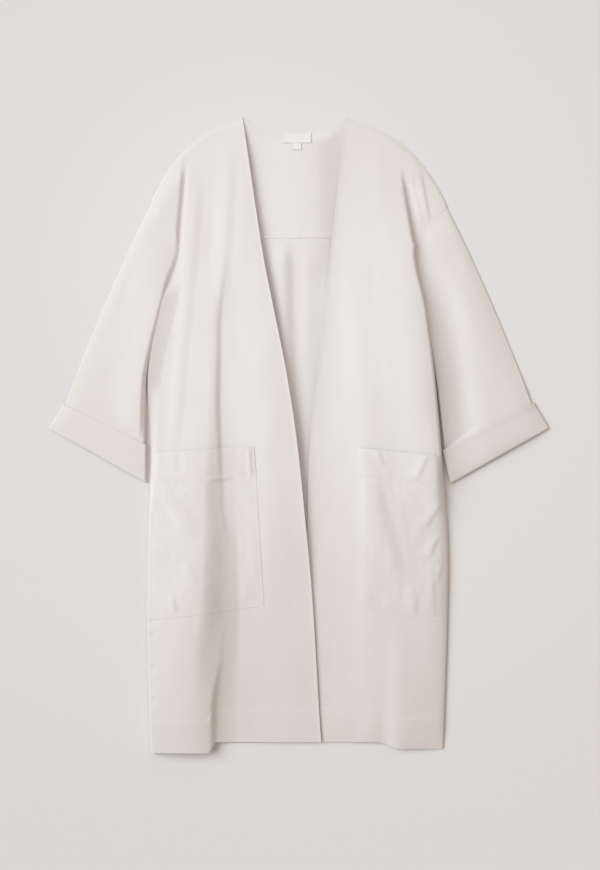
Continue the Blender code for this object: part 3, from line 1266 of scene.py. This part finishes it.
@dataclass(kw_only=True)
class BackYoke(ClothPiece):
    """The yoke across the shoulders, whose inside shows in the neck opening."""

    back: BackPanel
    inset: float = 4.0
    neck_dip: float = 23.0
    lap: float = 1.5
    seam_step: float = 0.9
    cushion: float = 7.0
    puckers: tuple[float, ...] = (-35.0, -2.0, 23.0)
    pucker_width: float = 5.0
    pucker_mm: float = 0.4
    neck_blend: float = 0.12
    seam_start: float = 0.93
    seam_blend: float = 0.05
    stitch_depth: float = 0.985
    share_count: int = 150
    depth_count: int = 60
    area_share: float = 0.7
    span: float = 520.0
    depth_mm: float = 190.0
    cut_width: float = 0.53
    cut_length: float = 0.22

    def at(self, share: float, depth: float) -> Vector:
        """Return a point of the yoke's underside.

        Args:
            share: The share of the way from the right end to the left one.
            depth: The share of the way from the top edge to the seam.

        Returns:
            The point.
        """
        seam = self.back.at(share, self.back.top_row)
        third = share * 3
        if third < 1:
            x, drop, _ = RIGHT_CUT.surface(RIGHT_CUT.sections[0], 0.0, third)
        elif third > 2:
            x, drop, _ = LEFT_CUT.surface(LEFT_CUT.sections[0], 0.0, 3 - third)
        else:
            sideways = 2 * (third - 1) - 1
            x = mix(RIGHT_CUT.sections[0].inner_x, LEFT_CUT.sections[0].inner_x, third - 1)
            drop = self.neck_dip * (1 - abs(sideways) ** 3)
        x -= math.copysign(min(self.inset, abs(x)), x)
        top = place(x, drop + self.inset, 0.0)
        seam.y -= self.lap * MM
        point = top.lerp(seam, depth)
        x_mm = point.x / MM
        raised = self.back.plateau(x_mm)
        lift = self.cushion * raised * smooth(depth / self.neck_blend)
        puckers = sum(1.0 - smooth(abs(x_mm - centre) / self.pucker_width) for centre in self.puckers)
        seam_rise = self.pucker_mm * puckers * raised + self.seam_step
        lift += seam_rise * smooth((depth - self.seam_start) / self.seam_blend)
        point.z = lift * MM
        return point

    def build(self) -> bpy.types.Object:
        """Make the yoke with the stitches along its seam.

        Returns:
            The yoke's cloth.
        """
        columns = evenly(0.0, 1.0, self.share_count)
        piece = self.grid("back_yoke_cloth", columns, evenly(0.0, 1.0, self.depth_count), self.at)
        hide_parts("back_yoke")
        above = Vector((0.0, 0.0, self.shell * MM))
        path = [self.at(share, self.stitch_depth) + above for share in evenly(0.02, 0.98, self.share_count)]
        stitches = Stitching().sew("back_yoke_stitches", [path])
        return piece

    def height_over(self, x: float, drop: float) -> float:
        """Return the height of the yoke's upper side near the neck, found by closing in on the point.

        Args:
            x: The place across the coat.
            drop: The place down the coat.

        Returns:
            The height in millimetres.
        """
        share = 0.5
        depth = 0.1
        for _ in range(14):
            point = self.at(share, depth)
            share += (x - point.x / MM) / self.span
            depth = clamp(depth + (drop - COAT_LENGTH / 2 + point.y / MM) / self.depth_mm)
        return self.at(share, depth).z / MM + self.shell


@dataclass(kw_only=True)
class NeckLabel(ClothPiece):
    """A bare piece of woven tape sewn inside the back neck, or the tab below it."""

    yoke: BackYoke
    node: str = "label"
    width: float = 48.0
    length: float = 18.0
    centre_x: float = -4.0
    top_drop: float = 26.0
    seat_gap: float = 0.25
    curl_mm: float = 0.5
    side_curl: float = 0.12
    end_curl: float = 0.25

    def at(self, share: float, run: float) -> Vector:
        """Return a point of the tape's lower side.

        Args:
            share: The share of the way across the tape.
            run: The share of the way down it.

        Returns:
            The point.
        """
        x = self.centre_x + (share - 0.5) * self.width
        drop = self.top_drop + run * self.length
        curl = self.curl_mm * (1 - smooth((0.5 - abs(share - 0.5)) / self.side_curl))
        curl += self.curl_mm * smooth((run - 1.0 + self.end_curl) / self.end_curl)
        return place(x, drop, self.yoke.height_over(x, drop) + self.seat_gap + curl)

    def build(self) -> bpy.types.Object:
        """Make the tape.

        Returns:
            The tape.
        """
        piece = self.grid(self.node + "_tape", evenly(0.0, 1.0, 18), evenly(0.0, 1.0, 8), self.at)
        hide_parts(self.node)
        return piece


@dataclass(kw_only=True)
class Sleeve(ClothPiece):
    """A flattened sleeve tube, from its dropped armhole to inside the cuff."""

    cut: FrontCut
    relief: Relief
    top_width: float = 90.0
    end_width: float = 175.0
    end_run: float = 0.985
    cuff_share: float = 0.88
    bulge_armhole: float = 2.5
    bulge_end: float
    fill_share: float = 0.5
    ramp_start: float = 0.66
    ramp_end: float = 0.84
    armhole_gap: float = -1.5
    seam_step: float = 0.12
    bow: float = 4.5
    underarm_gap: float = 4.0
    underarm_lap: float = 0.0
    underarm_rows: float = 2.9
    underarm_blend: float = 0.3
    fold_radius: float = 4.5
    end_start: float = 0.9
    end_height: float = 1.8
    inner_height: float
    inner_reach: float = 95.0
    end_sink: float = 0.75
    trough: float = 0.0
    trough_rise: float
    trough_close: float = 1.0
    trough_lead: float = 0.0
    lead_reach: float = 56.0
    armhole_floor: float = 2.6
    inner_floor: float = 2.4
    outer_fold: float = 2.6
    outer_slope: tuple[float, float] = (16.0, 27.0)
    slope_share: float = 0.6
    fold_z: float = 0.9
    fold_blend: float = 0.2
    least_rise: float = 1.2
    crinkle: float = 0.8
    seed_step: float = 20.0
    turn_count: int = 150
    run_count: int = 150
    area_share: float = 0.64
    edges: dict[tuple[float, float], tuple[float, float]] = field(default_factory=dict)
    seams: dict[float, float] = field(default_factory=dict)
    cut_width: float = 0.37
    cut_length: float = 0.36

    def edge(self, row: float, outward: float) -> tuple[float, float]:
        """Return a point beside the front's outer edge, and keep it for the next call.

        Args:
            row: The front's row number.
            outward: The distance from the edge, in millimetres.

        Returns:
            The point's x and drop.
        """
        key = (row, outward)
        if key not in self.edges:
            self.edges[key] = self.cut.outer_edge(row, outward)
        return self.edges[key]

    def seam_height(self, row: float) -> float:
        """Return the height of the front's upper side at the armhole seam."""
        if row not in self.seams:
            edge_z = self.cut.surface(self.cut.section(row), row, 0.0)[2]
            self.seams[row] = edge_z + SHELL - self.seam_step
        return self.seams[row]

    def width(self, run: float) -> float:
        """Return the width of the flattened tube."""
        return mix(self.top_width, self.end_width, run)

    def plan(self, run: float, across: float) -> tuple[float, float]:
        """Return x and drop of the flattened tube.

        Args:
            run: The share of the way from the armhole to the cuff's lower fold.
            across: The share of the way from the top fold to the underarm.

        Returns:
            The point's x and drop in millimetres.
        """
        cut = self.cut
        top_start = self.edge(0.0, self.armhole_gap)
        low_start = self.edge(1.0, self.armhole_gap)
        armhole = self.edge(clamp(across), self.armhole_gap)
        upper = clamp(run / self.cuff_share)
        lower = clamp((run - self.cuff_share) / (1 - self.cuff_share))
        lapped = self.underarm_lap * smooth((upper - 0.22) / 0.12) * (1 - smooth((upper - 0.5) / 0.3))
        gap = mix(self.armhole_gap, self.underarm_gap, smooth((upper - 0.4) / 0.6)) - lapped
        beside = self.edge(1.0 + self.underarm_rows * upper, gap)
        joined = smooth((upper - 1.0) / self.underarm_blend + 1.0)
        arch = 4 * upper * (1 - upper) * self.bow
        out = (arch * cut.side.sign, -0.5 * arch)
        result = []
        for axis in (0, 1):
            top = mix(mix(top_start[axis], cut.cuff_outer[axis], upper), cut.end_outer[axis], lower)
            top += out[axis]
            under = mix(mix(beside[axis], cut.cuff_inner[axis], joined), cut.end_inner[axis], lower)
            end = mix(cut.end_outer[axis], cut.end_inner[axis], across)
            corners = mix(mix(top_start[axis], low_start[axis], across), end, run)
            result.append(mix(top, under, across) + mix(armhole[axis], end, run) - corners)
        return result[0], result[1]

    def under_height(self, run: float) -> float:
        """Return the height of the under layer, which climbs onto the cuff."""
        return CAD_SEAT * smooth((run - self.ramp_start) / (self.ramp_end - self.ramp_start))

    def upper_height(self, run: float, across: float) -> float:
        """Return the height of the upper layer's outer side, without its creases.

        Args:
            run: The share of the way from the armhole to the cuff's lower fold.
            across: The share of the way from the top fold to the underarm.

        Returns:
            The height in millimetres.
        """
        held = clamp(across)
        filled = smooth(run / self.fill_share)
        bulge = mix(self.bulge_armhole, self.bulge_end, filled) * 4 * held * (1 - held)
        aside = (1 - held) * self.width(run)
        inner = self.inner_height * (1 - smooth(aside / self.inner_reach)) * smooth(run / 0.4)
        inner *= 1 - self.end_sink * smooth((run - 0.7) / 0.18)
        sunk = smooth((aside - self.trough * filled) / self.trough_rise)
        sunk = mix(sunk, 1.0, self.trough_close * smooth((run - 0.82) / 0.08))
        open_top = CAD_SEAT + CAD_WALL + bulge + inner
        lead = self.trough_lead * filled * (1 - clamp(aside / self.lead_reach)) ** 2
        lead *= 1 - 0.5 * smooth((run - 0.7) / 0.16)
        floor = mix(self.armhole_floor, self.inner_floor, smooth((run - 0.18) / 0.12))
        settled = mix(floor, open_top, sunk) + lead
        ended = math.sqrt(1 - clamp((run - self.end_start) / (1.0 - self.end_start)) ** 2)
        settled = self.under_height(run) + mix(self.end_height, settled, ended)
        return mix(self.seam_height(held), settled, smooth(run / 0.1))

    def swell(self, run: float, across: float, width: float) -> float:
        """Return how far the tube has rounded up from its folds, flatter along the top one.

        Args:
            run: The share of the way from the armhole to the cuff's lower fold.
            across: The share of the way from the top fold to the underarm.
            width: The tube's flat width, in millimetres.

        Returns:
            The share of the full height, 0 at both folds.
        """
        reach = mix(self.outer_slope[0], self.outer_slope[1], smooth(run / 0.3))
        slope = 1 - (1 - clamp(across * width / reach)) ** 2
        tight = math.sqrt(1 - (1 - clamp(across * width / self.outer_fold)) ** 2)
        inner = math.sqrt(1 - (1 - clamp((1 - across) * width / self.fold_radius)) ** 2)
        return min(mix(tight, slope, self.slope_share), inner)

    def at(self, turn: float, run: float) -> Vector:
        """Return a point of the tube's outer side.

        Args:
            turn: The share of a turn round the tube, from the top fold over the upper layer.
            run: The share of the way from the armhole to the cuff's lower fold.

        Returns:
            The point.
        """
        across = 0.5 - 0.5 * math.cos(2 * math.pi * turn)
        x, drop = self.plan(run, across)
        low = self.under_height(run)
        middle = low + mix(self.fold_z, 0.5 * (CAD_SEAT + CAD_WALL), smooth(across / self.fold_blend))
        swell = self.swell(run, across, self.width(run))
        if turn > 0.5:
            return place(x, drop, mix(middle, low, swell))
        top = self.upper_height(run, across)
        creases = relief_height(self.relief, x, drop)
        creases += undulation(x, drop, self.cut.seed + self.seed_step, self.crinkle)
        top += creases * smooth(run / 0.08) * swell
        least = low + 0.5 * CAD_SEAT + self.least_rise * swell
        return place(x, drop, max(mix(middle, top, swell), least))

    def build(self) -> bpy.types.Object:
        """Make the sleeve.

        Returns:
            The sleeve's cloth.
        """
        side = self.cut.side.value
        piece = self.grid(
            f"sleeve_{side}_cloth",
            evenly(0.0, 1.0, self.turn_count),
            evenly(0.0, self.end_run, self.run_count),
            self.at,
            ring=True,
        )
        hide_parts(f"sleeve_{side}_upper", f"sleeve_{side}_under")
        return piece


@dataclass(kw_only=True)
class Cuff(ClothPiece):
    """A deep cuff turned back over the end of its sleeve."""

    sleeve: Sleeve
    stand_off: float
    flare: float
    flat_width: float = 185.0
    overhang: float = 0.026
    inner_overhang: float = 0.2
    turn_run: float = 0.012
    turn_runs: tuple[float, ...] = (0.996, 0.998, 1.0, 1.002, 1.004, 1.006, 1.009, 1.012, 1.016, 1.02)
    turn_count: int = 150
    fold_z: float = 1.9
    fold_blend: float = 0.2
    fold_lift: float = 0.8
    floor_z: float = 0.35
    inside_z: float = 1.3
    inside_sink: float = 0.4
    flare_run: float = 0.03
    cut_width: float = 0.38
    cut_length: float = 0.058

    def at(self, turn: float, run: float) -> Vector:
        """Return a point of the cuff's outer side.

        Args:
            turn: The share of a turn round the cuff, from the top fold over the upper layer.
            run: The sleeve's run, which goes on past 1 where the cuff turns inside.

        Returns:
            The point.
        """
        sleeve = self.sleeve
        across = 0.5 - 0.5 * math.cos(2 * math.pi * turn)
        inside = max(0.0, run - 1.0)
        fold = smooth(inside / self.turn_run)
        level = run if run <= 1.0 else 1.0 + 0.4 * inside * (1 - fold) - inside * fold
        wide = mix(-self.overhang, 1 + self.overhang, across)
        tucked = self.inner_overhang * self.overhang
        narrow = mix(-tucked, 1 + tucked, across)
        x, drop = sleeve.plan(level, mix(wide, narrow, fold))
        half = 0.5 * (CAD_SEAT + CAD_WALL) + self.fold_lift
        middle = mix(self.fold_z, half, smooth(across / self.fold_blend))
        swell = sleeve.swell(level, across, self.flat_width)
        if turn > 0.5:
            floor = self.floor_z * smooth((run - 0.97) / 0.03)
            return place(x, drop, mix(mix(middle, floor, swell), mix(middle, self.inside_z, swell), fold))
        flare = self.flare * (1 - smooth((level - sleeve.cuff_share) / self.flare_run))
        top = sleeve.upper_height(level, across) + SHELL + self.stand_off + flare
        top = mix(top, sleeve.upper_height(level, across) - self.inside_sink, fold)
        return place(x, drop, mix(middle, top, swell))

    def build(self) -> bpy.types.Object:
        """Make the cuff, with close rows where it turns inside.

        Returns:
            The cuff's cloth.
        """
        side = self.sleeve.cut.side.value
        runs = evenly(self.sleeve.cuff_share, 0.994, 34) + list(self.turn_runs)
        piece = self.grid(f"cuff_{side}_cloth", evenly(0.0, 1.0, self.turn_count), runs, self.at, ring=True)
        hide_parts(f"cuff_{side}_upper", f"cuff_{side}_under")
        return piece


@dataclass(frozen=True)
class FarLamp:
    """A broad far light that shines towards the middle of the coat."""

    name: str
    place: tuple[float, float, float]
    spread: float
    strength: float
    colour: tuple[float, float, float]

    def hang(self) -> bpy.types.Object:
        """Hang the light.

        Returns:
            The light's object.
        """
        light = bpy.data.lights.new(self.name, "SUN")
        light.angle = math.radians(self.spread)
        light.energy = self.strength
        light.color = self.colour
        lamp = bpy.data.objects.new(self.name, light)
        lamp.location = self.place
        lamp.rotation_euler = (-Vector(self.place)).to_track_quat("-Z", "Y").to_euler()
        bpy.context.scene.collection.objects.link(lamp)
        return lamp


@dataclass(frozen=True)
class PoolLamp:
    """A soft light straight above that fades out towards the hem."""

    name: str
    place: tuple[float, float, float]
    cone: float
    radius: float
    watts: float
    colour: tuple[float, float, float]

    def hang(self) -> bpy.types.Object:
        """Hang the light.

        Returns:
            The light's object.
        """
        light = bpy.data.lights.new(self.name, "SPOT")
        light.spot_size = math.radians(self.cone)
        light.spot_blend = 1.0
        light.shadow_soft_size = self.radius
        light.energy = self.watts
        light.color = self.colour
        lamp = bpy.data.objects.new(self.name, light)
        lamp.location = self.place
        bpy.context.scene.collection.objects.link(lamp)
        return lamp


@dataclass
class Studio:
    """A pale floor, soft light from the upper left and a camera straight above."""

    lamps: tuple[FarLamp | PoolLamp, ...] = (
        FarLamp("key_light", (-3.96, 1.44, 3.54), 46.0, 2.55, (0.778, 0.897, 1.0)),
        PoolLamp("pool_light", (-0.08, 0.28, 1.9), 46.0, 0.3, 32.5, (0.778, 0.897, 1.0)),
    )
    sky: Colour = (1.0, 0.865, 0.775, 1.0)
    sky_strength: float = 0.49
    floor_size: float = 8.0
    floor_z: float = -0.05
    lens: float = 85.0
    camera_place: tuple[float, float, float] = (0.00167, -0.001, 3.4236)

    def build(self) -> None:
        """Set up the floor, the light and the camera."""
        self._lay_floor()
        for lamp in self.lamps:
            lamp.hang()
        world = bpy.data.worlds.new("studio")
        world.use_nodes = True
        background = world.node_tree.nodes["Background"]
        background.inputs["Color"].default_value = self.sky
        background.inputs["Strength"].default_value = self.sky_strength
        scene = bpy.context.scene
        scene.world = world
        scene.view_settings.view_transform = "Standard"
        camera = bpy.data.objects.new("camera", bpy.data.cameras.new("camera"))
        camera.data.lens = self.lens
        camera.data.sensor_width = 36.0
        camera.location = self.camera_place
        scene.collection.objects.link(camera)
        scene.camera = camera

    def _lay_floor(self) -> None:
        """Lay the pale floor just under the coat."""
        shape = bmesh.new()
        bmesh.ops.create_grid(shape, x_segments=1, y_segments=1, size=self.floor_size / 2)
        floor = add_object("floor", shape, FLOOR.material())
        floor.location.z = self.floor_z * MM


def build_coat() -> None:
    """Build every piece of the coat, from the back up to the cuffs."""
    back = BackPanel(ClothFinish("back_weave"))
    back.build()
    yoke = BackYoke(ClothFinish("yoke_weave"), back=back)
    yoke.build()
    NeckLabel(TAPE, "label", TAPE_SHELL, yoke=yoke).build()
    tab = {"node": "size_tab", "width": 15.0, "length": 11.0, "top_drop": 44.3}
    NeckLabel(TAPE, "label", TAPE_SHELL, yoke=yoke, **tab).build()
    grains = {
        Side.RIGHT: (Grain.RIGHT_SLEEVE, Grain.RIGHT_CUFF),
        Side.LEFT: (Grain.LEFT_SLEEVE, Grain.LEFT_CUFF),
    }
    for cut in CUTS:
        side = cut.side.value
        front = Front(ClothFinish(f"front_{side}_weave"), cut=cut)
        front.build()
        PatchPocket(
            ClothFinish(f"pocket_{side}_weave"),
            shell=POCKET_SHELL,
            front=front,
            creases=POCKET_CREASES[cut.side],
        ).build()
        sleeve_grain, cuff_grain = grains[cut.side]
        sleeve = Sleeve(
            ClothFinish(f"sleeve_{side}_weave", sleeve_grain),
            cut=cut,
            relief=SLEEVE_RELIEF[cut.side],
            **SLEEVE_FILL[cut.side],
        )
        sleeve.build()
        Cuff(ClothFinish(f"cuff_{side}_weave", cuff_grain), sleeve=sleeve, **CUFF_FIT[cut.side]).build()


def main() -> None:
    """Build the coat and its studio."""
    logging.basicConfig(level=logging.INFO, format="%(message)s")
    build_coat()
    Studio().build()


if __name__ == "__main__":
    main()
